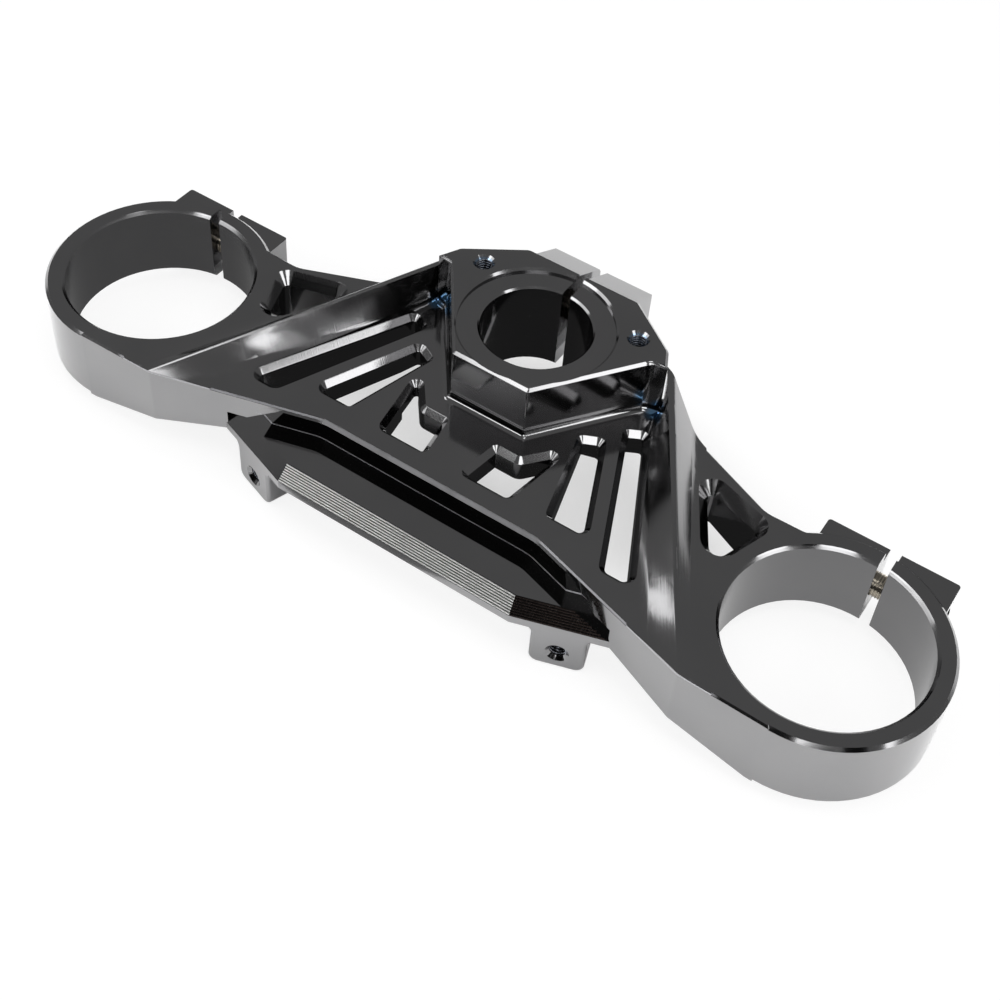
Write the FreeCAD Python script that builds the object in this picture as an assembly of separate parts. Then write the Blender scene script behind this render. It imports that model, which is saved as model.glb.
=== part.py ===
import FreeCAD, Part
import math
import os

# Top yoke of a motorcycle fork, milled from one billet, with its three pinch bolts.
# Millimetres. X runs across the machine, +Y points to the rider, +Z up the steering stem.
# The outlines are drawn from the line between the two fork tubes, and the whole yoke is
# then moved so that its origin lies on the stem axis, level with the flat top of the web.

# Fork tubes and steering stem
FORK_SPACING = 200.0
FORK_BORE = 50.0
FORK_RING_WALL = 5.0
FORK_RING_HEIGHT = 22.3
FORK_RING_CHAMFER = 0.8
STEM_OFFSET = 30.0
STEM_BORE = 29.0
STEM_SEAT_BORE = 40.8
STEM_SEAT_DEPTH = 1.2
STEM_SEAT_CHAMFER = 0.6
STEM_EDGE_CHAMFER = 0.5

# Web and the raised boss round the stem
WEB_THICKNESS = 7.0
BOSS_RISE = 16.3
BOSS_CHAMFER = 0.7
BOSS_BASE_FILLET = 2.2
HUB_DROP = 4.0
HUB_RADIUS = 21.5
TOP_EDGE_CHAMFER = 0.5
FRONT_EDGE_Y = -16.4

# Outline of the boss: half widths, and depths measured from the stem axis
BOSS_FRONT_HALF = 11.1
BOSS_FRONT = -21.1
BOSS_SIDE_HALF = 30.3
BOSS_SIDE = 5.4
BOSS_SHOULDER_REACH = 4.3
BOSS_SHOULDER = 6.4
BOSS_FLANK_TAPER = 2.8
BOSS_FLANK = 12.0
BOSS_REAR_HALF = 16.8
BOSS_REAR = 22.8
BOSS_CORNER = 3.0
BOSS_FRONT_CORNER = 0.6

# Arms from the web out to the fork rings
ARM_CORNER_IN = 23.0
ARM_CORNER_BACK = 0.4
ARM_ROOT_X = 31.4
ARM_FRONT_BLEND = 14.0
ARM_CORNER_ROUND = 3.0
NECK_OUT_REACH = 17.7
NECK_OUT_BACK = 6.0
NECK_OUT_ROUND = 6.0
NECK_IN_REACH = 28.0
NECK_IN_BACK = 6.2
NECK_IN_ROUND = 8.0
REAR_EDGE_OUT_X = 44.0
REAR_EDGE_OUT = 5.6
REAR_EDGE_IN_X = 33.0
REAR_EDGE_IN = 10.4
ARM_TAPER_START = 2.0
ARM_TAPER_END = 80.0
ARM_TAPER = 0.225

# Gussets that rise from the front corners of the arms to the sides of the boss
GUSSET_RISE = 11.3
GUSSET_FRONT_RISE = 0.15
GUSSET_REAR = 4.5
GUSSET_FRONT_IN = 8.8
GUSSET_FOOT_MIDDLE_X = 37.2
GUSSET_FOOT_MIDDLE = -5.5
GUSSET_FOOT_REAR_X = 33.2
GUSSET_CREST_REAR_X = 36.5
GUSSET_FRONT_OUT = 6.0
GUSSET_OUTER_REAR_X = 46.6
GUSSET_FLAT_FRONT = 0.5
GUSSET_FLAT_REAR = 1.1
GUSSET_ROUND_FRONT = 0.2
GUSSET_ROUND_REAR = 1.3
GUSSET_BLEND = 2.8

# Windows: the rear ends are measured from the stem axis
LONG_SLOT_FRONT_Y = -15.7
LONG_SLOT_FRONT_IN_X = 47.9
LONG_SLOT_FRONT_OUT_X = 58.0
LONG_SLOT_FRONT_ROUND = 3.0
LONG_SLOT_OUT_X = 36.2
LONG_SLOT_OUT = -0.6
LONG_SLOT_IN_X = 30.0
LONG_SLOT_IN = -4.0
SHORT_SLOT_FRONT_Y = -9.5
SHORT_SLOT_FRONT_IN_X = 29.1
SHORT_SLOT_FRONT_IN_ROUND = 2.4
SHORT_SLOT_FRONT_OUT_X = 41.6
SHORT_SLOT_FRONT_OUT_ROUND = 2.8
SHORT_SLOT_OUT_X = 28.6
SHORT_SLOT_OUT = -9.1
SHORT_SLOT_IN_X = 22.0
SHORT_SLOT_IN = -12.4
SLOT_OUT_ROUND = 2.5
SLOT_IN_ROUND = 1.8
ARROW_FRONT_Y = -10.8
ARROW_FRONT_IN_X = 4.9
ARROW_FRONT_IN_ROUND = 2.0
ARROW_FRONT_OUT_X = 19.7
ARROW_FRONT_OUT_ROUND = 2.8
ARROW_TIP = -20.8
ARROW_TIP_OUT_X = 22.9
ARROW_TIP_OUT_ROUND = 2.2
ARROW_TIP_IN_X = 19.4
ARROW_NOTCH = -27.3
ARROW_NOTCH_OUT_X = 14.2
ARROW_NOTCH_IN_X = 6.9
ARROW_NOTCH_ROUND = 1.6
REAR_WINDOW_FRONT_GAP = 1.9
REAR_WINDOW_FRONT_Y = -2.5
REAR_WINDOW_FRONT_ROUND = 5.0
REAR_WINDOW_SIDE_INSET = 3.0
REAR_WINDOW_SIDE_Y = 11.5
REAR_WINDOW_SIDE_FIT = 0.7
REAR_WINDOW_NECK_INSET = 6.2
REAR_WINDOW_NECK_BACK = 9.4
REAR_WINDOW_NECK_ROUND = 4.2
REAR_WINDOW_TIP_X = 50.1
REAR_WINDOW_TIP = -1.4
REAR_WINDOW_TIP_ROUND = 4.0
SLOT_BEVEL_WIDTH = 1.5
SLOT_BEVEL_DEPTH = 1.5
REAR_BEVEL_WIDTH = 2.6
REAR_BEVEL_DEPTH = 3.3

# Front beam with its shelf, ribbed band and lip
BEAM_FACE_Y = -31.5
BEAM_HALF = 34.4
BEAM_TIP_X = 57.5
BEAM_TIP_Y = -23.9
BEAM_BOTTOM = 13.5
BEAM_DEPTH = 11.5
BAND_TOP = 7.0
BAND_BOTTOM = 11.1
BAND_SET_BACK = 3.3
RECESS_EDGE = 0.9
RECESS_STEP_DEPTH = 4.0
RECESS_STEP_OUT = 2.1
RECESS_FOOT_OUT = 4.5
RECESS_RUN_OUT = 41.0

# Pocket under the web, whose sides are level with the outer sides of the long slots
POCKET_FRONT_Y = -17.0
POCKET_REAR = -0.5
POCKET_ROUND = 3.0

# Lugs under the ends of the beam, each with a tapped hole
LUG_START = 5.5
LUG_WIDTH = 13.8
LUG_THICKNESS = 9.5
LUG_BOTTOM = 26.6
LUG_CORNER = 2.4
LUG_EDGE = 0.9
LUG_HOLE_DROP = 21.0
LUG_HOLE_DEPTH = 7.0

# Tapped holes
TAP_DRILL = 4.2
TAP_CHAMFER = 0.9
BOSS_HOLE_X = 23.5
BOSS_HOLE_BACK = 11.0
BOSS_HOLE_DEPTH = 12.0

# Pinch ears behind each fork ring and behind the stem
FORK_EAR_OUT_INSET = 10.3
FORK_EAR_IN_INSET = 14.7
FORK_EAR_REACH = 4.5
FORK_EAR_CORNER = 0.8
FORK_EAR_DROP = 4.0
FORK_SLIT = 3.0
FORK_SLIT_SHIFT = 2.7
STEM_EAR_HALF = 15.2
STEM_EAR_BACK = 34.8
STEM_EAR_SHOULDER = 22.4
STEM_EAR_TOP_REAR = 8.9
STEM_EAR_TOP_FRONT = 15.4
STEM_SLIT = 2.4
EAR_CHAMFER = 0.8

# Pinch bolts
FORK_BOLT = 6.0
FORK_BOLT_BACK = 4.4
FORK_BOLT_DROP = 12.0
STEM_BOLT = 8.0
STEM_BOLT_BACK = 27.0
STEM_BOLT_DROP = 1.0
BOLT_CLEARANCE = 0.5
BOLT_HEAD_RATIO = 1.6
BOLT_HEX_RATIO = 0.84
BOLT_HEAD_SINK = 1.0
BOLT_ACCESS = 8.0
BOLT_HEAD_CHAMFER = 0.06
FORK_BOLT_END = 1.0
STEM_BOLT_END = -2.0

RING_X = FORK_SPACING / 2
BORE_R = FORK_BORE / 2
RING_R = BORE_R + FORK_RING_WALL
RING_BOTTOM = -FORK_RING_HEIGHT
FORK_EAR_REAR = RING_R + FORK_EAR_REACH
FORK_BOLT_Y = BORE_R + FORK_BOLT_BACK
FORK_EAR_OUT = RING_R - FORK_EAR_OUT_INSET
FORK_EAR_IN = RING_R - FORK_EAR_IN_INSET
STEM_EAR_REAR = STEM_OFFSET + STEM_EAR_BACK
BOSS_SHOULDER_HALF = BOSS_SIDE_HALF + BOSS_SHOULDER_REACH
GUSSET_REAR_Y = STEM_OFFSET + GUSSET_REAR
CLEAR = 40.0


def vec(x, y, z=0.0):
    return FreeCAD.Vector(x, y, z)


def corner_arc(before, here, after, radius):
    """Tangent points and middle point of the arc that rounds one corner"""
    to_before = (before - here).normalize()
    to_after = (after - here).normalize()
    half = to_before.getAngle(to_after) / 2
    reach = radius / math.tan(half)
    inward = (to_before + to_after).normalize()
    middle = here + inward * (radius / math.sin(half) - radius)
    return here + to_before * reach, middle, here + to_after * reach


def outline(corners, z):
    """Closed wire through corners (x, y, radius) at height z"""
    points = [vec(x, y, z) for x, y, radius in corners]
    count = len(corners)
    starts = []
    ends = []
    arcs = []
    for i, (x, y, radius) in enumerate(corners):
        if radius > 0:
            first, middle, last = corner_arc(points[i - 1], points[i], points[(i + 1) % count], radius)
            arcs.append(Part.Arc(first, middle, last).toShape())
        else:
            first = last = points[i]
            arcs.append(None)
        starts.append(first)
        ends.append(last)
    edges = []
    for i in range(count):
        if arcs[i]:
            edges.append(arcs[i])
        following = starts[(i + 1) % count]
        if (following - ends[i]).Length > 1e-6:
            edges.append(Part.makeLine(ends[i], following))
    return Part.Wire(edges)


def turns_left(corners, i):
    ax, ay, radius = corners[i - 1]
    bx, by, radius = corners[i]
    cx, cy, radius = corners[(i + 1) % len(corners)]
    return (bx - ax) * (cy - by) - (by - ay) * (cx - bx) > 0


def grown(corners, distances):
    """Corners of a counterclockwise outline after each edge moves outward by its own distance"""
    count = len(corners)
    if not isinstance(distances, (list, tuple)):
        distances = [distances] * count
    lines = []
    for i in range(count):
        ax, ay, radius = corners[i]
        bx, by, radius = corners[(i + 1) % count]
        length = math.hypot(bx - ax, by - ay)
        nx = (by - ay) / length
        ny = (ax - bx) / length
        lines.append((nx, ny, nx * ax + ny * ay + distances[i]))
    result = []
    for i in range(count):
        px, py, pd = lines[i - 1]
        qx, qy, qd = lines[i]
        det = px * qy - py * qx
        x = (pd * qy - qd * py) / det
        y = (px * qd - qx * pd) / det
        radius = corners[i][2]
        if radius > 0:
            growth = (distances[i - 1] + distances[i]) / 2
            radius = radius + growth if turns_left(corners, i) else radius - growth
        result.append((x, y, radius))
    return result


def stack(corners, levels):
    """Solid through copies of one outline, each at its height and grown by its distance"""
    wires = [outline(grown(corners, distance), z) for z, distance in levels]
    return Part.makeLoft(wires, True, True)


def prism(corners, bottom, top):
    return Part.Face(outline(corners, bottom)).extrude(vec(0, 0, top - bottom))


def box(x0, x1, y0, y1, z0, z1):
    return Part.makeBox(x1 - x0, y1 - y0, z1 - z0, vec(x0, y0, z0))


def turned(profile, x, y):
    """Solid of revolution about the upright line through (x, y), from (radius, z) points"""
    points = [vec(x + radius, y, z) for radius, z in profile]
    face = Part.Face(Part.makePolygon(points + points[:1]))
    return face.revolve(vec(x, y), vec(0, 0, 1), 360)


def mirrored(shape):
    return shape.mirror(vec(0, 0, 0), vec(1, 0, 0))


def both_sides(shapes):
    return shapes + [mirrored(shape) for shape in shapes]


def joined(shapes):
    return shapes[0].multiFuse(shapes[1:]).removeSplitter()


def rod(radius, start, direction, length):
    return Part.makeCylinder(radius, length, start, direction)


def bezier(start, pole, end):
    curve = Part.BezierCurve()
    curve.setPoles([start, pole, end])
    return curve.toShape()


def arm_front_y(x):
    """Front edge of the arm, straight from its root to the corner beside the fork ring"""
    corner_x = RING_X - ARM_CORNER_IN
    slope = (FRONT_EDGE_Y + RING_R - ARM_CORNER_BACK) / (ARM_ROOT_X - corner_x)
    return FRONT_EDGE_Y + slope * (x - ARM_ROOT_X)


# Outline of the whole yoke seen from above, for the half with x > 0
def plan_half():
    corner_x = RING_X - ARM_CORNER_IN
    return [
        (ARM_ROOT_X, FRONT_EDGE_Y, ARM_FRONT_BLEND),
        (corner_x, arm_front_y(corner_x), ARM_CORNER_ROUND),
        (RING_X, -RING_R, 0.0),
        (RING_X, RING_R - 1.0, 0.0),
        (RING_X - NECK_OUT_REACH, RING_R - NECK_OUT_BACK, NECK_OUT_ROUND),
        (RING_X - NECK_IN_REACH, RING_R - NECK_IN_BACK, NECK_IN_ROUND),
        (REAR_EDGE_OUT_X, STEM_OFFSET + REAR_EDGE_OUT, 0.0),
        (REAR_EDGE_IN_X, STEM_OFFSET + REAR_EDGE_IN, 0.0),
    ]


def plan():
    half = plan_half()
    other = [(-x, y, radius) for x, y, radius in reversed(half)]
    return other + half


# Raised boss: flat front, sides that open towards the rear, short shoulders, rounded back
def boss_plan():
    half = [
        (BOSS_FRONT_HALF, STEM_OFFSET + BOSS_FRONT, BOSS_FRONT_CORNER),
        (BOSS_SIDE_HALF, STEM_OFFSET + BOSS_SIDE, BOSS_CORNER),
        (BOSS_SHOULDER_HALF, STEM_OFFSET + BOSS_SHOULDER, 0.0),
        (BOSS_SHOULDER_HALF - BOSS_FLANK_TAPER, STEM_OFFSET + BOSS_FLANK, BOSS_CORNER),
        (BOSS_REAR_HALF, STEM_OFFSET + BOSS_REAR, BOSS_CORNER),
    ]
    other = [(-x, y, radius) for x, y, radius in reversed(half)]
    return other + half


def fork_ring():
    return turned([
        (0, RING_BOTTOM), (RING_R - FORK_RING_CHAMFER, RING_BOTTOM),
        (RING_R, RING_BOTTOM + FORK_RING_CHAMFER), (RING_R, -FORK_RING_CHAMFER),
        (RING_R - FORK_RING_CHAMFER, 0), (0, 0)], RING_X, 0)


def fork_bore():
    return turned([
        (0, RING_BOTTOM - 1), (BORE_R + FORK_RING_CHAMFER + 1, RING_BOTTOM - 1),
        (BORE_R, RING_BOTTOM + FORK_RING_CHAMFER), (BORE_R, -FORK_RING_CHAMFER),
        (BORE_R + FORK_RING_CHAMFER + 1, 1), (0, 1)], RING_X, 0)


def gusset_section(y, foot_x):
    """Cross-section of the right gusset at one station, with its inner wall standing at foot_x"""
    along = (y + RING_R) / (GUSSET_REAR_Y + RING_R)

    def between(front, rear):
        return front + (rear - front) * along

    crest_z = between(GUSSET_FRONT_RISE, GUSSET_RISE)
    crest_x = between(RING_X - ARM_CORNER_IN, GUSSET_CREST_REAR_X)
    flat = between(GUSSET_FLAT_FRONT, GUSSET_FLAT_REAR)
    bend = between(GUSSET_ROUND_FRONT, GUSSET_ROUND_REAR)
    crest_in = vec(crest_x, y, crest_z)
    crest_out = crest_in + vec(flat, 0, 0)
    foot_in = vec(foot_x, y)
    foot_out = vec(between(RING_X - ARM_CORNER_IN + GUSSET_FRONT_OUT, GUSSET_OUTER_REAR_X), y)
    shoulder = crest_out + vec(bend / 2, 0, 0)
    bend_end = shoulder + (foot_out - shoulder).normalize() * bend
    blend_in = foot_in + (crest_in - foot_in).normalize() * GUSSET_BLEND
    blend_out = foot_out + (shoulder - foot_out).normalize() * GUSSET_BLEND
    floor_in = foot_in - vec(GUSSET_BLEND, 0, 0)
    floor_out = foot_out + vec(GUSSET_BLEND, 0, 0)
    sunk = vec(0, 0, -WEB_THICKNESS / 2)
    return Part.Wire([
        bezier(floor_in, foot_in, blend_in),
        Part.makeLine(blend_in, crest_in),
        Part.makeLine(crest_in, crest_out),
        bezier(crest_out, shoulder, bend_end),
        Part.makeLine(bend_end, blend_out),
        bezier(blend_out, foot_out, floor_out),
        Part.makeLine(floor_out, floor_out + sunk),
        Part.makeLine(floor_out + sunk, floor_in + sunk),
        Part.makeLine(floor_in + sunk, floor_in),
    ])


def gusset(limit):
    stations = [(-RING_R - 3, RING_X - ARM_CORNER_IN - GUSSET_FRONT_IN),
                (STEM_OFFSET + GUSSET_FOOT_MIDDLE, GUSSET_FOOT_MIDDLE_X),
                (STEM_OFFSET + 13, GUSSET_FOOT_REAR_X)]
    sections = [gusset_section(y, foot_x) for y, foot_x in stations]
    fin = Part.makeLoft(sections, True, True)
    return fin.common(limit)


def slot_windows():
    short_slot = [(SHORT_SLOT_FRONT_IN_X, SHORT_SLOT_FRONT_Y, SHORT_SLOT_FRONT_IN_ROUND),
                  (SHORT_SLOT_FRONT_OUT_X, SHORT_SLOT_FRONT_Y, SHORT_SLOT_FRONT_OUT_ROUND),
                  (SHORT_SLOT_OUT_X, STEM_OFFSET + SHORT_SLOT_OUT, SLOT_OUT_ROUND),
                  (SHORT_SLOT_IN_X, STEM_OFFSET + SHORT_SLOT_IN, SLOT_IN_ROUND)]
    arrow = [(ARROW_FRONT_IN_X, ARROW_FRONT_Y, ARROW_FRONT_IN_ROUND),
             (ARROW_FRONT_OUT_X, ARROW_FRONT_Y, ARROW_FRONT_OUT_ROUND),
             (ARROW_TIP_OUT_X, STEM_OFFSET + ARROW_TIP, ARROW_TIP_OUT_ROUND),
             (ARROW_TIP_IN_X, STEM_OFFSET + ARROW_TIP, ARROW_NOTCH_ROUND),
             (ARROW_NOTCH_OUT_X, STEM_OFFSET + ARROW_NOTCH, ARROW_NOTCH_ROUND),
             (ARROW_NOTCH_IN_X, STEM_OFFSET + ARROW_NOTCH, ARROW_NOTCH_ROUND)]
    return [long_slot(), short_slot, arrow]


def long_slot():
    return [(LONG_SLOT_FRONT_IN_X, LONG_SLOT_FRONT_Y, LONG_SLOT_FRONT_ROUND),
            (LONG_SLOT_FRONT_OUT_X, LONG_SLOT_FRONT_Y, LONG_SLOT_FRONT_ROUND),
            (LONG_SLOT_OUT_X, STEM_OFFSET + LONG_SLOT_OUT, SLOT_OUT_ROUND),
            (LONG_SLOT_IN_X, STEM_OFFSET + LONG_SLOT_IN, SLOT_IN_ROUND)]


def rear_window():
    """Wedge between the gusset, the rear edge and the ring, with its outer side round the ring"""
    return [(RING_X - RING_R - REAR_WINDOW_FRONT_GAP, REAR_WINDOW_FRONT_Y, REAR_WINDOW_FRONT_ROUND),
            (RING_X - RING_R + REAR_WINDOW_SIDE_INSET, REAR_WINDOW_SIDE_Y, RING_R - REAR_WINDOW_SIDE_FIT),
            (RING_X - RING_R + REAR_WINDOW_NECK_INSET,
             RING_R - REAR_WINDOW_NECK_BACK, REAR_WINDOW_NECK_ROUND),
            (REAR_WINDOW_TIP_X, STEM_OFFSET + REAR_WINDOW_TIP, REAR_WINDOW_TIP_ROUND)]


def window_cutter(corners, bevel_width, bevel_depth, bottom):
    above = prism(corners, 0, CLEAR)
    bevel = stack(corners, [(-bevel_depth, -bevel_width), (0, 0)])
    shaft = prism(grown(corners, -bevel_width), bottom, -bevel_depth)
    return above.multiFuse([bevel, shaft])


def front_recess_wall():
    """Wall under the front edge: chamfer, steep step and slope, each side running out into the arm"""
    end_x = BEAM_TIP_X + 3.0
    back = FRONT_EDGE_Y + 6.0
    corners = [(-end_x, arm_front_y(end_x), 0), (-ARM_ROOT_X, FRONT_EDGE_Y, ARM_FRONT_BLEND),
               (ARM_ROOT_X, FRONT_EDGE_Y, ARM_FRONT_BLEND), (end_x, arm_front_y(end_x), 0),
               (end_x, back, 0), (-end_x, back, 0)]
    levels = []
    for z, out in ((-WEB_THICKNESS, RECESS_FOOT_OUT), (-RECESS_STEP_DEPTH, RECESS_STEP_OUT),
                   (-RECESS_EDGE, RECESS_EDGE - TOP_EDGE_CHAMFER), (0, -TOP_EDGE_CHAMFER)):
        levels.append((z, [out, out, out, 0, 0, 0]))
    wall = stack(corners, levels)
    run_out = recess_run_out()
    return wall.cut(run_out).cut(mirrored(run_out))


def recess_run_out():
    """Space above the plane through the end of the front edge and the top of the angled band"""
    top = vec(RECESS_RUN_OUT, arm_front_y(RECESS_RUN_OUT))
    first, second = band_top_edge()
    normal = (second - first).cross(top - first).normalize()
    if normal.z < 0:
        normal = normal * -1
    wall = vec(1, arm_front_y(1) - arm_front_y(0)).normalize()
    outward = vec(wall.y, -wall.x)
    corners = []
    for reach, out in ((-3.0, 0.0), (26.0, 0.0), (26.0, 16.0), (-3.0, 16.0)):
        point = top + wall * reach + outward * out
        drop = (normal.x * (point.x - top.x) + normal.y * (point.y - top.y)) / normal.z
        corners.append(point - vec(0, 0, drop))
    return Part.Face(Part.makePolygon(corners + corners[:1])).extrude(vec(0, 0, CLEAR))


def band_top_edge():
    """Two points on the upper edge of the angled end of the band"""
    start, along, outward = lug_frame()
    inner = start - outward * BAND_SET_BACK - vec(0, 0, BAND_TOP)
    return inner, inner + along * 10


def beam_plan():
    back = BEAM_FACE_Y + BEAM_DEPTH
    return [(-BEAM_TIP_X, BEAM_TIP_Y, 0), (-BEAM_HALF, BEAM_FACE_Y, 0), (BEAM_HALF, BEAM_FACE_Y, 0),
            (BEAM_TIP_X, BEAM_TIP_Y, 0), (BEAM_TIP_X - 3.0, back, 0), (-BEAM_TIP_X + 3.0, back, 0)]


def front_beam():
    corners = beam_plan()
    set_back = [-BAND_SET_BACK, -BAND_SET_BACK, -BAND_SET_BACK, 0, 0, 0]
    level = [0, 0, 0, 0, 0, 0]
    lip = stack(corners, [(-BEAM_BOTTOM, level), (-BAND_BOTTOM, level)])
    band = stack(corners, [(-BAND_BOTTOM, level), (-BAND_TOP, set_back)])
    return [lip, band]


def lug_frame():
    """Corner of the angled face, its direction and its outward normal"""
    start = vec(BEAM_HALF, BEAM_FACE_Y)
    along = (vec(BEAM_TIP_X, BEAM_TIP_Y) - start).normalize()
    outward = vec(along.y, -along.x)
    return start, along, outward


def lug():
    """Block that hangs from the angled lip, blended into it at both sides"""
    low = -LUG_BOTTOM
    corners = [(0, low, LUG_CORNER), (LUG_WIDTH, low, LUG_CORNER),
               (LUG_WIDTH, -BEAM_BOTTOM, LUG_CORNER), (LUG_WIDTH + 2 * LUG_CORNER, -BEAM_BOTTOM, 0),
               (LUG_WIDTH + 2 * LUG_CORNER, -BAND_BOTTOM, 0), (-2 * LUG_CORNER, -BAND_BOTTOM, 0),
               (-2 * LUG_CORNER, -BEAM_BOTTOM, 0), (0, -BEAM_BOTTOM, LUG_CORNER)]
    block = prism(corners, -LUG_THICKNESS, 0)
    straight_top = -BEAM_BOTTOM - LUG_CORNER + 0.1
    rim = [edge for edge in block.Edges
           if edge.BoundBox.ZMin > -0.01 and edge.BoundBox.YMax < straight_top
           and edge.Length > LUG_CORNER * 2]
    block = block.makeFillet(LUG_EDGE, rim[:1])
    start, along, outward = lug_frame()
    origin = start + along * LUG_START
    matrix = FreeCAD.Matrix(along.x, 0, outward.x, origin.x,
                            along.y, 0, outward.y, origin.y,
                            0, 1, 0, 0,
                            0, 0, 0, 1)
    return block.transformGeometry(matrix)


def lug_hole():
    start, along, outward = lug_frame()
    mouth = start + along * (LUG_START + LUG_WIDTH / 2) + vec(0, 0, -LUG_HOLE_DROP)
    return tapped_hole(mouth, outward * -1, LUG_HOLE_DEPTH)


def tapped_hole(mouth, inward, depth):
    radius = TAP_DRILL / 2
    hole = rod(radius, mouth - inward, inward, depth + 1)
    rim = radius + TAP_CHAMFER
    sink = Part.makeCone(rim + 0.5, radius, TAP_CHAMFER + 0.5, mouth - inward * 0.5, inward)
    return hole.fuse(sink)


def fork_ear():
    inner = RING_X - FORK_EAR_IN
    outer = RING_X + FORK_EAR_OUT
    corners = [(inner, RING_R / 2, 0), (outer, RING_R / 2, 0),
               (outer, FORK_EAR_REAR, FORK_EAR_CORNER), (inner, FORK_EAR_REAR, FORK_EAR_CORNER)]
    return prism(corners, RING_BOTTOM, -FORK_EAR_DROP)


def fork_slit():
    centre = RING_X + FORK_SLIT_SHIFT
    return box(centre - FORK_SLIT / 2, centre + FORK_SLIT / 2, 0, FORK_EAR_REAR + 1, RING_BOTTOM - 1, 1)


def stem_ears():
    front = STEM_OFFSET + STEM_BORE / 2 + 2
    hub_bottom = -WEB_THICKNESS - HUB_DROP
    profile = [(front, hub_bottom), (STEM_EAR_REAR, hub_bottom), (STEM_EAR_REAR, STEM_EAR_TOP_REAR),
               (STEM_OFFSET + STEM_EAR_SHOULDER, STEM_EAR_TOP_FRONT), (front, STEM_EAR_TOP_FRONT)]
    points = [vec(-STEM_EAR_HALF, y, z) for y, z in profile]
    face = Part.Face(Part.makePolygon(points + points[:1]))
    block = face.extrude(vec(2 * STEM_EAR_HALF, 0, 0))
    edges = [edge for edge in block.Edges if edge.BoundBox.YMin > STEM_EAR_REAR - 0.01]
    return block.makeChamfer(EAR_CHAMFER, edges)


def stem_slit():
    return box(-STEM_SLIT / 2, STEM_SLIT / 2, STEM_OFFSET, STEM_EAR_REAR + 1,
               -WEB_THICKNESS - HUB_DROP - 1, BOSS_RISE + 1)


def stem_bore():
    radius = STEM_BORE / 2
    seat = BOSS_RISE - STEM_SEAT_DEPTH
    bottom = -WEB_THICKNESS - HUB_DROP
    return turned([
        (0, bottom - 1), (radius + STEM_EDGE_CHAMFER + 1, bottom - 1), (radius, bottom + STEM_EDGE_CHAMFER),
        (radius, seat - STEM_EDGE_CHAMFER), (radius + STEM_EDGE_CHAMFER, seat),
        (STEM_SEAT_BORE / 2, seat), (STEM_SEAT_BORE / 2, BOSS_RISE - STEM_SEAT_CHAMFER),
        (STEM_SEAT_BORE / 2 + STEM_SEAT_CHAMFER, BOSS_RISE),
        (STEM_SEAT_BORE / 2 + STEM_SEAT_CHAMFER, BOSS_RISE + 1), (0, BOSS_RISE + 1)], 0, STEM_OFFSET)


def bolt_pocket(size, head_face, across, length):
    """Clearance hole with a counterbore for the head, from the head's side through both ears"""
    head_r = size * BOLT_HEAD_RATIO / 2
    outside = head_face - across * BOLT_ACCESS
    counterbore = rod(head_r + BOLT_CLEARANCE / 2, outside, across, BOLT_ACCESS + BOLT_HEAD_SINK + size)
    return counterbore.fuse(rod((size + BOLT_CLEARANCE) / 2, head_face, across, length + 1))


def socket_bolt(size, head_face, across, length, end):
    """Socket head cap screw sunk in its counterbore, whose end stands out of the far ear by end"""
    head_r = size * BOLT_HEAD_RATIO / 2
    top = head_face + across * BOLT_HEAD_SINK
    head = rod(head_r, top, across, size)
    rim = [edge for edge in head.Edges if abs((edge.CenterOfMass - top).Length) < 1e-6]
    head = head.makeChamfer(size * BOLT_HEAD_CHAMFER, rim)
    shank = rod(size / 2, top + across * (size / 2), across, length - BOLT_HEAD_SINK - size / 2 + end)
    bolt = head.fuse(shank).removeSplitter()
    hex_r = size * BOLT_HEX_RATIO / 2 / math.cos(math.pi / 6)
    points = []
    for i in range(6):
        angle = i * math.pi / 3
        points.append(top + vec(0, math.cos(angle) * hex_r, math.sin(angle) * hex_r))
    key = Part.Face(Part.makePolygon(points + points[:1])).extrude(across * (size / 2))
    return bolt.cut(key)


def fork_bolt_place():
    head_face = vec(RING_X + FORK_EAR_OUT, FORK_BOLT_Y, -FORK_BOLT_DROP)
    return head_face, vec(-1, 0, 0), FORK_EAR_OUT + FORK_EAR_IN


def stem_bolt_place():
    place = vec(-STEM_EAR_HALF, STEM_OFFSET + STEM_BOLT_BACK, -STEM_BOLT_DROP)
    return place, vec(1, 0, 0), 2 * STEM_EAR_HALF


def web_pocket():
    """Space under the web, whose sides go on downward from the outer sides of the long slots"""
    front, rear = [vec(x, y) for x, y, radius in grown(long_slot(), -SLOT_BEVEL_WIDTH)[1:3]]
    slope = (rear.x - front.x) / (rear.y - front.y)
    rear_y = STEM_OFFSET + POCKET_REAR
    front_x = front.x + slope * (POCKET_FRONT_Y - front.y)
    rear_x = front.x + slope * (rear_y - front.y)
    half = [(front_x, -RING_R, 0), (front_x, POCKET_FRONT_Y, POCKET_ROUND),
            (rear_x, rear_y, POCKET_ROUND), (rear_x, 2 * STEM_OFFSET, 0)]
    other = [(-x, y, radius) for x, y, radius in reversed(half)]
    return prism(other + half, RING_BOTTOM - 1, -WEB_THICKNESS)


def arm_taper():
    """Wedge under an arm, which grows thinner from the fork ring towards the middle"""
    low = RING_BOTTOM - 1
    start_x = RING_X - ARM_TAPER_START
    end_x = RING_X - ARM_TAPER_END
    rise = ARM_TAPER * (start_x - end_x)
    profile = [vec(start_x, -CLEAR, low), vec(start_x, -CLEAR, RING_BOTTOM),
               vec(end_x, -CLEAR, RING_BOTTOM + rise), vec(end_x, -CLEAR, low)]
    return Part.Face(Part.makePolygon(profile + profile[:1])).extrude(vec(0, 3 * CLEAR, 0))


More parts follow.
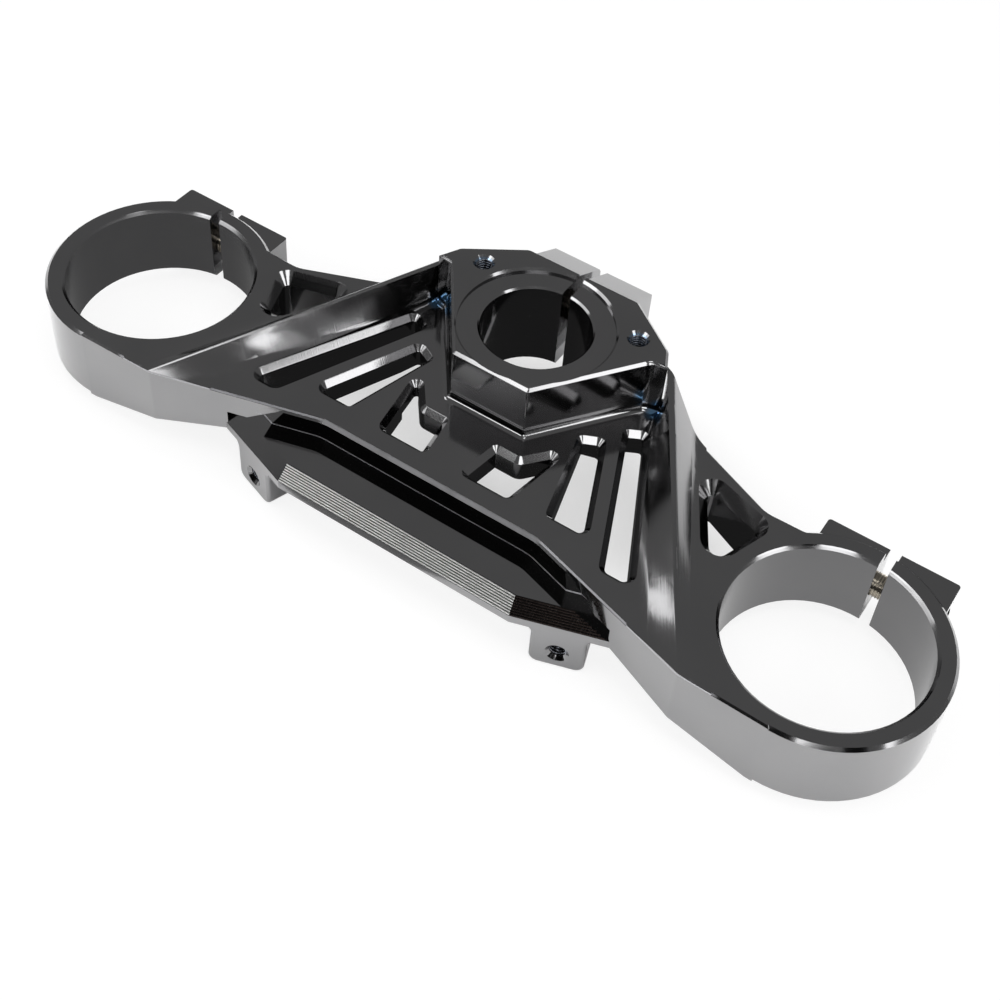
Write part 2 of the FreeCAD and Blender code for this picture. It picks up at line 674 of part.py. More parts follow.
def underside_cutters():
    """The cuts under the web and the arms, which leave the fork rings whole"""
    ring = rod(RING_R - 0.5, vec(RING_X, 0, RING_BOTTOM - 1), vec(0, 0, 1), FORK_RING_HEIGHT + 2)
    cutters = [web_pocket()] + both_sides([arm_taper()])
    return [cutter.cut(ring).cut(mirrored(ring)) for cutter in cutters]


def top_rim(slab):
    """Upper edges of the arms and the front, without those that the rings and the boss cover"""
    return [edge for edge in slab.Edges
            if edge.BoundBox.ZMin > -0.01 and abs(edge.BoundBox.YMin) > 5
            and edge.BoundBox.YMin < RING_R - 2 and edge.BoundBox.YMax < GUSSET_REAR_Y - 0.5]


def boss_foot(web):
    """Edges where the front and the sides of the boss meet the web"""
    return [edge for edge in web.Edges
            if abs(edge.BoundBox.ZMin) < 1e-3 and abs(edge.BoundBox.ZMax) < 1e-3
            and edge.BoundBox.YMin > STEM_OFFSET + BOSS_FRONT - 0.9
            and edge.BoundBox.YMax < STEM_OFFSET + BOSS_SHOULDER + 0.2
            and abs(edge.CenterOfMass.x) < BOSS_SHOULDER_HALF - 0.1]


def yoke():
    whole = plan()
    slab = prism(whole, RING_BOTTOM, 0)
    slab = slab.makeChamfer(TOP_EDGE_CHAMFER, top_rim(slab))
    slab = slab.cut(Part.makeCompound(underside_cutters()))
    boss_top = [(BOSS_RISE - BOSS_CHAMFER, 0), (BOSS_RISE, -BOSS_CHAMFER)]
    boss = stack(boss_plan(), [(-WEB_THICKNESS, 0)] + boss_top)
    web = slab.fuse(boss).removeSplitter()
    web = web.makeFillet(BOSS_BASE_FILLET, boss_foot(web))
    reach = prism(whole, -WEB_THICKNESS, BOSS_RISE)
    hub = rod(HUB_RADIUS, vec(0, STEM_OFFSET, -WEB_THICKNESS - HUB_DROP), vec(0, 0, 1), HUB_DROP + 2)
    solids = [web, hub, stem_ears(), front_recess_wall()] + front_beam()
    solids = solids + both_sides([fork_ring(), fork_ear(), gusset(reach), lug()])
    body = joined(solids)
    cuts = both_sides([fork_bore(), fork_slit(), lug_hole()]) + [stem_bore(), stem_slit()]
    for corners in slot_windows():
        cuts += both_sides([window_cutter(corners, SLOT_BEVEL_WIDTH, SLOT_BEVEL_DEPTH, -WEB_THICKNESS - 1)])
    cuts += both_sides([window_cutter(rear_window(), REAR_BEVEL_WIDTH, REAR_BEVEL_DEPTH, RING_BOTTOM - 1)])
    boss_hole = vec(BOSS_HOLE_X, STEM_OFFSET + BOSS_HOLE_BACK, BOSS_RISE)
    cuts += both_sides([tapped_hole(boss_hole, vec(0, 0, -1), BOSS_HOLE_DEPTH)])
    cuts += both_sides([bolt_pocket(FORK_BOLT, *fork_bolt_place())])
    cuts += [bolt_pocket(STEM_BOLT, *stem_bolt_place())]
    for cutter in cuts:
        body = body.cut(cutter)
    return body


def save(name, shape):
    shape = shape.copy()
    shape.translate(vec(0, -STEM_OFFSET, 0))
    shape.exportStep("parts/" + name + ".step")
    print(name, "solids", len(shape.Solids), "valid", shape.isValid(), "volume %.1f" % shape.Volume)


os.makedirs("parts", exist_ok=True)
save("yoke_body", yoke())
right_bolt = socket_bolt(FORK_BOLT, *fork_bolt_place(), FORK_BOLT_END)
save("fork_pinch_bolt_right", right_bolt)
save("fork_pinch_bolt_left", mirrored(right_bolt))
save("stem_pinch_bolt", socket_bolt(STEM_BOLT, *stem_bolt_place(), STEM_BOLT_END))
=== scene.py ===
import math
import bpy
from mathutils import Matrix, Vector


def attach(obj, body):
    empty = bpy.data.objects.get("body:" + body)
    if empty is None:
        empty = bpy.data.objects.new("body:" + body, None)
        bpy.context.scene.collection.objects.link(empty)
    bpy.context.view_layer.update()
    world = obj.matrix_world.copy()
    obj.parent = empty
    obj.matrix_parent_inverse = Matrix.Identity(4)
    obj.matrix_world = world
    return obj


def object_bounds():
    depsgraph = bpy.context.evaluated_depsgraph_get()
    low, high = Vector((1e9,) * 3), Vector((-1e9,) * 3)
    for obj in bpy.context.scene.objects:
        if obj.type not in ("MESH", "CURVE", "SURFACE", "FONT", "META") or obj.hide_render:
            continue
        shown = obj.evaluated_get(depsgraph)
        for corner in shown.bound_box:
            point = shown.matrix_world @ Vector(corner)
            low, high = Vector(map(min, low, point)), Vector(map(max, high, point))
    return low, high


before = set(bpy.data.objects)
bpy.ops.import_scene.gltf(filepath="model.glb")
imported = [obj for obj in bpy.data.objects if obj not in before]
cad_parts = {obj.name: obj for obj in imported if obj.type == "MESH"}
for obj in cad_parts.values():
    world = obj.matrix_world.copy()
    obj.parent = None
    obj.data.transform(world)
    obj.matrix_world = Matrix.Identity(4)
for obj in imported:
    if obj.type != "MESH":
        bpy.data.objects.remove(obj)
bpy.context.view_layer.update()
scene = bpy.context.scene

# Camera
# A 57 mm lens above the front right corner of the yoke looks down at it over the front beam.
# Its shift puts the yoke where it lies in the photograph's frame.
camera_data = bpy.data.cameras.new("camera")
camera_data.sensor_width = 36.0
camera_data.lens = 57.19
camera_data.shift_x = -0.0387
camera_data.shift_y = -0.1251
camera_data.clip_start = 0.01
camera = bpy.data.objects.new("camera", camera_data)
scene.collection.objects.link(camera)
camera_right = Vector((0.8379, 0.5406, 0.0754))
camera_up = Vector((-0.4339, 0.5759, 0.6929))
camera_back = Vector((0.3311, -0.6133, 0.7171))
camera_place = Vector((0.138736, -0.252946, 0.294568))
turn = Matrix((camera_right, camera_up, camera_back)).transposed().to_4x4()
camera.matrix_world = Matrix.Translation(camera_place) @ turn
scene.camera = camera

# Studio
# A pale table under a grey tent, with softboxes to the right, to the left and in front, and
# black flags round the front that keep the recess dark. The table and the world show white
# behind the yoke, and the table keeps its shadow, which shows most under the web.
scene.view_settings.view_transform = "Standard"


def new_material(name):
    material = bpy.data.materials.new(name)
    material.use_nodes = True
    tree = material.node_tree
    tree.nodes.clear()
    output = tree.nodes.new("ShaderNodeOutputMaterial")
    return material, tree.nodes, tree.links, output


def math_node(nodes, links, operation, *values):
    node = nodes.new("ShaderNodeMath")
    node.operation = operation
    for socket, value in zip(node.inputs, values):
        if isinstance(value, (int, float)):
            socket.default_value = value
        else:
            links.new(value, socket)
    return node.outputs[0]


def ramp(nodes, links, value, low, high):
    """0 at low and 1 at high with soft ends, also where low is the greater"""
    node = nodes.new("ShaderNodeMapRange")
    node.interpolation_type = "SMOOTHSTEP"
    links.new(value, node.inputs["Value"])
    node.inputs["From Min"].default_value = low
    node.inputs["From Max"].default_value = high
    return node.outputs["Result"]


def seen_directly(nodes, links):
    """1 for rays that come from the camera or through glass, 0 for all others"""
    path = nodes.new("ShaderNodeLightPath")
    return math_node(nodes, links, "MAXIMUM", path.outputs["Is Camera Ray"], path.outputs["Is Transmission Ray"])


BACKDROP_LIGHT = 0.25
world = bpy.data.worlds.new("studio_world")
scene.world = world
world.use_nodes = True
nodes = world.node_tree.nodes
links = world.node_tree.links
backdrop = nodes["Background"]
backdrop.inputs["Color"].default_value = (1, 1, 1, 1)
links.new(math_node(nodes, links, "MULTIPLY_ADD", seen_directly(nodes, links), 1 - BACKDROP_LIGHT, BACKDROP_LIGHT),
          backdrop.inputs["Strength"])

TABLE_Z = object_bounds()[0][2]
TABLE_HALF = 4.0
PAPER_WHITE = 0.9
PAPER_MIRROR_GAIN = 0.62
GLOW_STRENGTH = 1.08
GLOW_SHARE = 0.78
GLOW_SHARE_UNDER_WEB = 0.54
GLOW_SHARE_LEAST = 0.01
SHADE_HALF_X = 0.078
SHADE_HALF_Y = 0.036
SHADE_FULL = 0.6
SHADE_END = 1.2
table_mesh = bpy.data.meshes.new("table")
table_corners = [(-TABLE_HALF, -TABLE_HALF), (TABLE_HALF, -TABLE_HALF), (TABLE_HALF, TABLE_HALF),
                 (-TABLE_HALF, TABLE_HALF)]
table_mesh.from_pydata([(x, y, TABLE_Z) for x, y in table_corners], [], [(0, 1, 2, 3)])
table = bpy.data.objects.new("table", table_mesh)
scene.collection.objects.link(table)
table_material, nodes, links, output = new_material("pale_table")
path = nodes.new("ShaderNodeLightPath")
paper = nodes.new("ShaderNodeBsdfDiffuse")
paper_white = math_node(nodes, links, "MULTIPLY_ADD", path.outputs["Is Glossy Ray"], PAPER_MIRROR_GAIN, PAPER_WHITE)
links.new(paper_white, paper.inputs["Color"])
glow = nodes.new("ShaderNodeEmission")
glow.inputs["Color"].default_value = (1, 1, 1, 1)
glow.inputs["Strength"].default_value = GLOW_STRENGTH
spot = nodes.new("ShaderNodeVectorMath")
spot.operation = "MULTIPLY"
links.new(nodes.new("ShaderNodeTexCoord").outputs["Object"], spot.inputs[0])
spot.inputs[1].default_value = (1 / SHADE_HALF_X, 1 / SHADE_HALF_Y, 0)
spot_radius = nodes.new("ShaderNodeVectorMath")
spot_radius.operation = "LENGTH"
links.new(spot.outputs[0], spot_radius.inputs[0])
away = ramp(nodes, links, spot_radius.outputs["Value"], SHADE_FULL, SHADE_END)
glow_share = math_node(nodes, links, "MULTIPLY_ADD", away, GLOW_SHARE - GLOW_SHARE_UNDER_WEB, GLOW_SHARE_UNDER_WEB)
share = math_node(nodes, links, "MULTIPLY_ADD", seen_directly(nodes, links), glow_share, GLOW_SHARE_LEAST)
blend = nodes.new("ShaderNodeMixShader")
links.new(share, blend.inputs[0])
links.new(paper.outputs[0], blend.inputs[1])
links.new(glow.outputs[0], blend.inputs[2])
links.new(blend.outputs[0], output.inputs["Surface"])
table_mesh.materials.append(table_material)


def glowing_cloth(name, strength):
    material, nodes, links, output = new_material(name)
    cloth = nodes.new("ShaderNodeEmission")
    cloth.inputs["Color"].default_value = (1, 1, 1, 1)
    cloth.inputs["Strength"].default_value = strength
    links.new(cloth.outputs[0], output.inputs["Surface"])
    return material


def studio_sheet(name, points, faces, material):
    """Cloth that only the surfaces see: the camera and the shadows pass through it"""
    mesh = bpy.data.meshes.new(name)
    mesh.from_pydata(points, [], faces)
    mesh.materials.append(material)
    sheet = bpy.data.objects.new(name, mesh)
    scene.collection.objects.link(sheet)
    sheet.visible_camera = False
    sheet.visible_shadow = False
    return sheet


TENT_RADIUS = 3.0
TENT_RINGS = 12
TENT_SEGMENTS = 48
TENT_STRENGTH = 0.25
tent_points = []
tent_faces = []
for ring in range(TENT_RINGS + 1):
    rise = math.pi / 2 * ring / TENT_RINGS
    for segment in range(TENT_SEGMENTS):
        bearing = 2 * math.pi * segment / TENT_SEGMENTS
        tent_points.append((TENT_RADIUS * math.cos(rise) * math.cos(bearing),
                            TENT_RADIUS * math.cos(rise) * math.sin(bearing),
                            TABLE_Z + TENT_RADIUS * math.sin(rise)))
for ring in range(TENT_RINGS):
    for segment in range(TENT_SEGMENTS):
        here = ring * TENT_SEGMENTS + segment
        beside = ring * TENT_SEGMENTS + (segment + 1) % TENT_SEGMENTS
        tent_faces.append((here, here + TENT_SEGMENTS, beside + TENT_SEGMENTS, beside))
studio_sheet("tent", tent_points, tent_faces, glowing_cloth("grey_tent_cloth", TENT_STRENGTH))

FLAG_RADIUS = 0.33
FLAG_CENTRE_Y = -0.05
FLAG_PANELS = 24
FLAG_STRENGTH = 0.004
black_cloth = glowing_cloth("black_flag_cloth", FLAG_STRENGTH)


def black_flag(name, start, end, top):
    """Upright black cloth round the front of the yoke, between two bearings in degrees"""
    points = []
    faces = []
    for panel in range(FLAG_PANELS + 1):
        bearing = math.radians(start + (end - start) * panel / FLAG_PANELS)
        x = FLAG_RADIUS * math.sin(bearing)
        y = FLAG_CENTRE_Y + FLAG_RADIUS * math.cos(bearing)
        points += [(x, y, TABLE_Z), (x, y, top)]
    for panel in range(FLAG_PANELS):
        faces.append((2 * panel, 2 * panel + 1, 2 * panel + 3, 2 * panel + 2))
    studio_sheet(name, points, faces, black_cloth).visible_diffuse = False


black_flag("front_flag", 152, 214, 0.22)
black_flag("left_flag", 214, 234, 0.115)
black_flag("corner_flag", 124, 152, 0.16)
black_flag("side_flag", 107, 119, 0.24)

# Dark cards lie on the table, seen only in reflections. Under the web, inside the rings and just in
# front they are painted shade, the yoke's shadow on the table, so the walls that mirror it there
# stay dark; one more black card lies farther in front.
CARD_CORNERS = 40
CARD_LIFT = 0.0002


def dark_card(name, centre_x, centre_y, half_x, half_y, strength):
    points = []
    for corner in range(CARD_CORNERS):
        bearing = 2 * math.pi * corner / CARD_CORNERS
        points.append((centre_x + half_x * math.cos(bearing), centre_y + half_y * math.sin(bearing),
                       TABLE_Z + CARD_LIFT))
    card = studio_sheet(name, points, [tuple(range(CARD_CORNERS))], glowing_cloth(name + "_cloth", strength))
    card.visible_diffuse = False
    card.visible_transmission = False


# Painted shade: the yoke's shadow on the table under the web, in the rings and just in front
dark_card("web_shade_card", 0.0, -0.012, 0.066, 0.036, 0.04)
dark_card("right_ring_shade_card", 0.1, -0.03, 0.028, 0.028, 0.7)
dark_card("left_ring_shade_card", -0.1, -0.03, 0.028, 0.028, 0.22)
dark_card("front_shade_card", -0.016, -0.0755, 0.034, 0.007, 0.35)
dark_card("far_card", -0.07, -0.225, 0.17, 0.13, 0.02)


def softbox(name, bearing, rise, width, height, radiance, distance=0.8):
    """Lamp that faces the yoke from a bearing off +Y and a rise above the table, in degrees"""
    lamp = bpy.data.lights.new(name, "AREA")
    lamp.shape = "RECTANGLE"
    lamp.size = width
    lamp.size_y = height
    lamp.energy = radiance * math.pi * width * height
    lamp_object = bpy.data.objects.new(name, lamp)
    scene.collection.objects.link(lamp_object)
    b = math.radians(bearing)
    r = math.radians(rise)
    place = Vector((math.sin(b) * math.cos(r), math.cos(b) * math.cos(r), math.sin(r))) * distance
    lamp_object.location = place
    lamp_object.rotation_euler = place.to_track_quat("Z", "Y").to_euler()
    return lamp_object


softbox("front_softbox", 216, 40, 0.43, 0.10, 4.8)
softbox("top_right_softbox", 128, 68, 0.11, 0.22, 4.0)
softbox("top_right_glow", 118, 64, 0.20, 0.36, 0.8, 0.82)
softbox("right_softbox", 94, 30, 0.29, 0.34, 4.2)
softbox("low_right_softbox", 145, 37, 0.35, 0.20, 4.3)
softbox("left_softbox", 279, 51, 0.19, 0.25, 3.2)
softbox("low_left_softbox", 240, 30, 0.44, 0.19, 2.2)
fill = softbox("fill", 0, 90, 1.0, 1.0, 1.7, 1.2)
fill.visible_glossy = False

# Yoke body
# One billet of aluminium, milled, polished and anodised glossy black.
# The cutter leaves lines across the left gusset and along the right one and rings in the fork
# bores; the front chamfer has lighter lines, the front edge and the recess's step edge carry a
# painted highlight, and the inner corners and the boss's tapped hole a painted blue reflection.


def node_group(name, inputs, outputs):
    group = bpy.data.node_groups.new(name, "ShaderNodeTree")
    for label, kind, value in inputs:
        group.interface.new_socket(label, in_out="INPUT", socket_type=kind).default_value = value
    for label, kind in outputs:
        group.interface.new_socket(label, in_out="OUTPUT", socket_type=kind)
    return group, group.nodes.new("NodeGroupInput"), group.nodes.new("NodeGroupOutput")


def dot_with(nodes, links, place, direction):
    node = nodes.new("ShaderNodeVectorMath")
    node.operation = "DOT_PRODUCT"
    links.new(place, node.inputs[0])
    links.new(direction, node.inputs[1])
    return node.outputs["Value"]


PATCH_SCALE = 180.0
PATCH_GAIN = 1.2
PATCH_LEAST = 0.2
cutter_marks, group_in, group_out = node_group(
    "cutter_marks",
    [("Place", "NodeSocketVector", (0, 0, 0)), ("Across", "NodeSocketVector", (1, 0, 0)),
     ("Pitch", "NodeSocketFloat", 0.0003)],
    [("Height", "NodeSocketFloat")])
nodes = cutter_marks.nodes
links = cutter_marks.links
travel = dot_with(nodes, links, group_in.outputs["Place"], group_in.outputs["Across"])
turn_count = math_node(nodes, links, "DIVIDE", travel, group_in.outputs["Pitch"])
lines = nodes.new("ShaderNodeTexNoise")
lines.noise_dimensions = "1D"
lines.inputs["Scale"].default_value = 1.0
lines.inputs["Detail"].default_value = 2.0
links.new(turn_count, lines.inputs["W"])
patches = nodes.new("ShaderNodeTexNoise")
patches.inputs["Scale"].default_value = PATCH_SCALE
links.new(group_in.outputs["Place"], patches.inputs["Vector"])
links.new(math_node(nodes, links, "MULTIPLY", lines.outputs["Fac"],
                    math_node(nodes, links, "MULTIPLY_ADD", patches.outputs["Fac"], PATCH_GAIN, PATCH_LEAST)),
          group_out.inputs["Height"])

PITS_PER_CLOUD = 14.0
PIT_EDGE = 0.16
PIT_FLOOR = 0.08
dye_cloud, group_in, group_out = node_group(
    "dye_cloud",
    [("Place", "NodeSocketVector", (0, 0, 0)), ("Scale", "NodeSocketFloat", 60.0)],
    [("Cloud", "NodeSocketFloat"), ("Pits", "NodeSocketFloat")])
nodes = dye_cloud.nodes
links = dye_cloud.links
cloud = nodes.new("ShaderNodeTexNoise")
cloud.inputs["Detail"].default_value = 4.0
links.new(group_in.outputs["Place"], cloud.inputs["Vector"])
links.new(group_in.outputs["Scale"], cloud.inputs["Scale"])
links.new(cloud.outputs["Fac"], group_out.inputs["Cloud"])
cells = nodes.new("ShaderNodeTexVoronoi")
links.new(group_in.outputs["Place"], cells.inputs["Vector"])
links.new(math_node(nodes, links, "MULTIPLY", group_in.outputs["Scale"], PITS_PER_CLOUD), cells.inputs["Scale"])
links.new(ramp(nodes, links, cells.outputs["Distance"], PIT_EDGE, PIT_FLOOR), group_out.inputs["Pits"])


def placed_group(nodes, links, group, place, values):
    node = nodes.new("ShaderNodeGroup")
    node.node_tree = group
    links.new(place, node.inputs["Place"])
    for label, value in values.items():
        node.inputs[label].default_value = value
    return node


def mixed(nodes, links, factor, first, second):
    """Colour between two others, each given as a colour or as a socket"""
    node = nodes.new("ShaderNodeMix")
    node.data_type = "RGBA"
    links.new(factor, node.inputs[0])
    for socket, colour in ((node.inputs[6], first), (node.inputs[7], second)):
        if isinstance(colour, tuple):
            socket.default_value = (*colour, 1)
        else:
            links.new(colour, socket)
    return node.outputs[2]


def summed(nodes, links, values):
    total = values[0]
    for value in values[1:]:
        total = math_node(nodes, links, "ADD", total, value)
    return total


def product(nodes, links, values):
    total = values[0]
    for value in values[1:]:
        total = math_node(nodes, links, "MULTIPLY", total, value)
    return total


DYE_DARK = (0.205, 0.205, 0.21)
DYE_LIGHT = (0.245, 0.243, 0.245)
# The blue below is a painted reflection, in the inner corners and weaker in the boss's tapped hole
PAINTED_BLUE_REFLECTION = (0.10, 0.30, 0.55)
WORN_CHAMFER = (0.3, 0.3, 0.31)
# The next colour is a painted highlight on the thin front edge and the recess's step edge
PAINTED_EDGE_HIGHLIGHT = (0.42, 0.42, 0.44)
GUSSET_LENGTH = (-0.532, 0.847, 0.0)
GUSSET_ACROSS = (0.847, 0.532, 0.0)
FORK_AXIS = (0.1, -0.03)
BOSS_HOLE = (0.0235, 0.011)
BOSS_TOP = 0.0163
STEP_EDGE_Z = -0.004
BLUE_CORNER = (0.0335, 0.0042, 0.0012)
BLUE_HOLE_SHARE = 0.4
BLUE_MOST = 0.8

# Where a mask is 0 and where it is 1: heights, places along Y, distances from the middle plane
# and radii
GUSSET_FOOT = (0.0001, 0.0004)
GUSSET_INNER = (0.0355, 0.0365)
BEVEL_LOW = (-0.0016, -0.0014)
BEVEL_TOP = (-0.00005, -0.0001)
BEVEL_FRONT = (-0.0457, -0.0455)
LEFT_HALF = (0.001, -0.001)
RIGHT_HALF = (-0.001, 0.001)
FORK_WALL = (0.0256, 0.0254)
CHAMFER_BACK = (-0.0458, -0.0459)
CHAMFER_LOW = (-0.001, -0.0009)
CHAMFER_END = (0.0335, 0.031)
CHAMFER_LINE = (0.2, 0.6)
EDGE_BACK = (-0.0455, -0.0458)
EDGE_LOW = (-0.00045, -0.0004)
EDGE_TOP = (-0.00003, -0.00008)
EDGE_START = (0.031, 0.034)
EDGE_END = (0.088, 0.086)
STEP_BACK = (-0.0481, -0.0482)
STEP_END = (0.0495, 0.0485)
STEP_HALF_WIDTH = (0.00014, 0.00008)
BLUE_REACH = (0.0027, 0.00081)
HOLE_WALL = (0.0028, 0.0025)
HOLE_RIM = (BOSS_TOP - 0.0002, BOSS_TOP - 0.0008)

DYE_SCALE = 55.0
GUSSET_CROSS_PITCH = 0.0003
GUSSET_LONG_PITCH = 0.0005
BORE_RING_PITCH = 0.00022
BORE_RING_SHARE = 0.2
RELIEF_DEPTH = 0.00001
POLISH_ROUGHNESS = 0.09
CLOUD_ROUGHNESS = 0.05
GUSSET_ROUGHNESS = 0.06
CHAMFER_ROUGHNESS = 0.2
BORE_ROUGHNESS = 0.08
EDGE_HIGHLIGHT_ROUGHNESS = 0.3

black_anodised, nodes, links, output = new_material("black_anodised_aluminium")
shader = nodes.new("ShaderNodeBsdfPrincipled")
shader.inputs["Metallic"].default_value = 1.0
links.new(shader.outputs[0], output.inputs["Surface"])
place = nodes.new("ShaderNodeTexCoord").outputs["Object"]
axes = nodes.new("ShaderNodeSeparateXYZ")
links.new(place, axes.inputs[0])
across = axes.outputs["X"]
ahead = axes.outputs["Y"]
height = axes.outputs["Z"]
side = math_node(nodes, links, "ABSOLUTE", across)
folded = nodes.new("ShaderNodeCombineXYZ")
links.new(side, folded.inputs["X"])
links.new(ahead, folded.inputs["Y"])
links.new(height, folded.inputs["Z"])
folded_place = folded.outputs[0]


def distance_to(nodes, links, x, y):
    """Distance from an upright line, on both sides of the yoke at once"""
    dx = math_node(nodes, links, "SUBTRACT", side, x)
    dy = math_node(nodes, links, "SUBTRACT", ahead, y)
    return math_node(nodes, links, "SQRT", math_node(nodes, links, "ADD", product(nodes, links, [dx, dx]),
                                                     product(nodes, links, [dy, dy])))


def masked(nodes, links, *limits):
    """Product of ramps, each given by its value and by where it is 0 and 1"""
    return product(nodes, links, [ramp(nodes, links, value, zero, one) for value, (zero, one) in limits])


dye = placed_group(nodes, links, dye_cloud, place, {"Scale": DYE_SCALE})
cross_lines = placed_group(nodes, links, cutter_marks, folded_place,
                           {"Across": GUSSET_LENGTH, "Pitch": GUSSET_CROSS_PITCH})
long_lines = placed_group(nodes, links, cutter_marks, folded_place,
                          {"Across": GUSSET_ACROSS, "Pitch": GUSSET_LONG_PITCH})
bore_rings = placed_group(nodes, links, cutter_marks, place, {"Across": (0, 0, 1), "Pitch": BORE_RING_PITCH})
on_gusset = masked(nodes, links, (height, GUSSET_FOOT), (side, GUSSET_INNER))
on_bevel = masked(nodes, links, (height, BEVEL_LOW), (height, BEVEL_TOP), (ahead, BEVEL_FRONT))
on_left = masked(nodes, links, (across, LEFT_HALF))
on_right = masked(nodes, links, (across, RIGHT_HALF))
in_bore = masked(nodes, links, (distance_to(nodes, links, *FORK_AXIS), FORK_WALL))
on_front_chamfer = masked(nodes, links, (ahead, CHAMFER_BACK), (height, CHAMFER_LOW), (side, CHAMFER_END))
on_front_edge = masked(nodes, links, (ahead, EDGE_BACK), (height, EDGE_LOW), (height, EDGE_TOP), (side, EDGE_START),
                       (side, EDGE_END))
from_step = math_node(nodes, links, "ABSOLUTE", math_node(nodes, links, "SUBTRACT", height, STEP_EDGE_Z))
on_step_edge = masked(nodes, links, (ahead, STEP_BACK), (side, STEP_END), (from_step, STEP_HALF_WIDTH))
# Painted highlight: the thin front edge and the recess's step edge get a lighter colour that stands in for the
# bright line of light along them, and are rougher there
edge_highlight_mask = math_node(nodes, links, "MAXIMUM", on_step_edge, on_front_edge)

# Painted reflection: blue in the inner corners of the boss and gussets and, weaker, in the boss's tapped hole
corner = nodes.new("ShaderNodeVectorMath")
corner.operation = "DISTANCE"
links.new(folded_place, corner.inputs[0])
corner.inputs[1].default_value = BLUE_CORNER
in_corner = masked(nodes, links, (corner.outputs["Value"], BLUE_REACH))
in_hole = masked(nodes, links, (distance_to(nodes, links, *BOSS_HOLE), HOLE_WALL), (height, HOLE_RIM))
blue = math_node(nodes, links, "MAXIMUM", in_corner, math_node(nodes, links, "MULTIPLY", in_hole, BLUE_HOLE_SHARE))
colour = mixed(nodes, links, dye.outputs["Cloud"], DYE_DARK, DYE_LIGHT)
chamfer_lines = product(nodes, links, [
    on_front_chamfer, masked(nodes, links, (bore_rings.outputs["Height"], CHAMFER_LINE))])
colour = mixed(nodes, links, chamfer_lines, colour, WORN_CHAMFER)
colour = mixed(nodes, links, edge_highlight_mask, colour, PAINTED_EDGE_HIGHLIGHT)
colour = mixed(nodes, links, math_node(nodes, links, "MULTIPLY", blue, BLUE_MOST), colour, PAINTED_BLUE_REFLECTION)
links.new(colour, shader.inputs["Base Color"])
roughness = summed(nodes, links, [
    math_node(nodes, links, "MULTIPLY_ADD", dye.outputs["Cloud"], CLOUD_ROUGHNESS, POLISH_ROUGHNESS),
    math_node(nodes, links, "MULTIPLY", on_gusset, GUSSET_ROUGHNESS),
    math_node(nodes, links, "MULTIPLY", on_front_chamfer, CHAMFER_ROUGHNESS),
    math_node(nodes, links, "MULTIPLY", in_bore, BORE_ROUGHNESS),
    math_node(nodes, links, "MULTIPLY", edge_highlight_mask, EDGE_HIGHLIGHT_ROUGHNESS)])
links.new(roughness, shader.inputs["Roughness"])
relief = nodes.new("ShaderNodeBump")
relief.inputs["Distance"].default_value = RELIEF_DEPTH
links.new(summed(nodes, links, [
    product(nodes, links, [cross_lines.outputs["Height"], on_gusset, on_left]),
    product(nodes, links, [long_lines.outputs["Height"], on_gusset, on_right]),
    product(nodes, links, [cross_lines.outputs["Height"], on_bevel, on_left]),
    math_node(nodes, links, "MULTIPLY", product(nodes, links, [bore_rings.outputs["Height"], in_bore]),
              BORE_RING_SHARE)]), relief.inputs["Height"])
links.new(relief.outputs["Normal"], shader.inputs["Normal"])

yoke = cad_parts["yoke_body"]
yoke.data.materials.clear()
yoke.data.materials.append(black_anodised)

# Ribs of the band
# Eight fine ribs run along the band under the shelf, bright and satin on its straight part.
# On the right end they turn with the band and are cut off on a slant; there their dark brown satin is painted shade.
SATIN_CLOUD_SCALE = 120.0
SATIN_LINE_ROUGHNESS = 0.12
SATIN_PIT_SHARE = -0.2
SATIN_RELIEF_DEPTH = 0.000004


def satin_material(name, dark, light, roughness, pitch, across):
    """Rolled or turned metal with its lines across one direction"""
    material, nodes, links, output = new_material(name)
    shader = nodes.new("ShaderNodeBsdfPrincipled")
    shader.inputs["Metallic"].default_value = 1.0
    links.new(shader.outputs[0], output.inputs["Surface"])
    place = nodes.new("ShaderNodeTexCoord").outputs["Object"]
    dye = placed_group(nodes, links, dye_cloud, place, {"Scale": SATIN_CLOUD_SCALE})
    lines = placed_group(nodes, links, cutter_marks, place, {"Across": across, "Pitch": pitch})
    links.new(mixed(nodes, links, dye.outputs["Cloud"], dark, light), shader.inputs["Base Color"])
    links.new(math_node(nodes, links, "MULTIPLY_ADD", lines.outputs["Height"], SATIN_LINE_ROUGHNESS, roughness),
              shader.inputs["Roughness"])
    relief = nodes.new("ShaderNodeBump")
    relief.inputs["Distance"].default_value = SATIN_RELIEF_DEPTH
    links.new(math_node(nodes, links, "MULTIPLY_ADD", dye.outputs["Pits"], SATIN_PIT_SHARE, lines.outputs["Height"]),
              relief.inputs["Height"])
    links.new(relief.outputs["Normal"], shader.inputs["Normal"])
    return material


def growth_tree(name, inputs):
    tree = bpy.data.node_groups.new(name, "GeometryNodeTree")
    tree.interface.new_socket("Geometry", in_out="OUTPUT", socket_type="NodeSocketGeometry")
    for label, kind in inputs:
        tree.interface.new_socket(label, in_out="INPUT", socket_type=kind)
    return tree, tree.nodes.new("NodeGroupInput").outputs


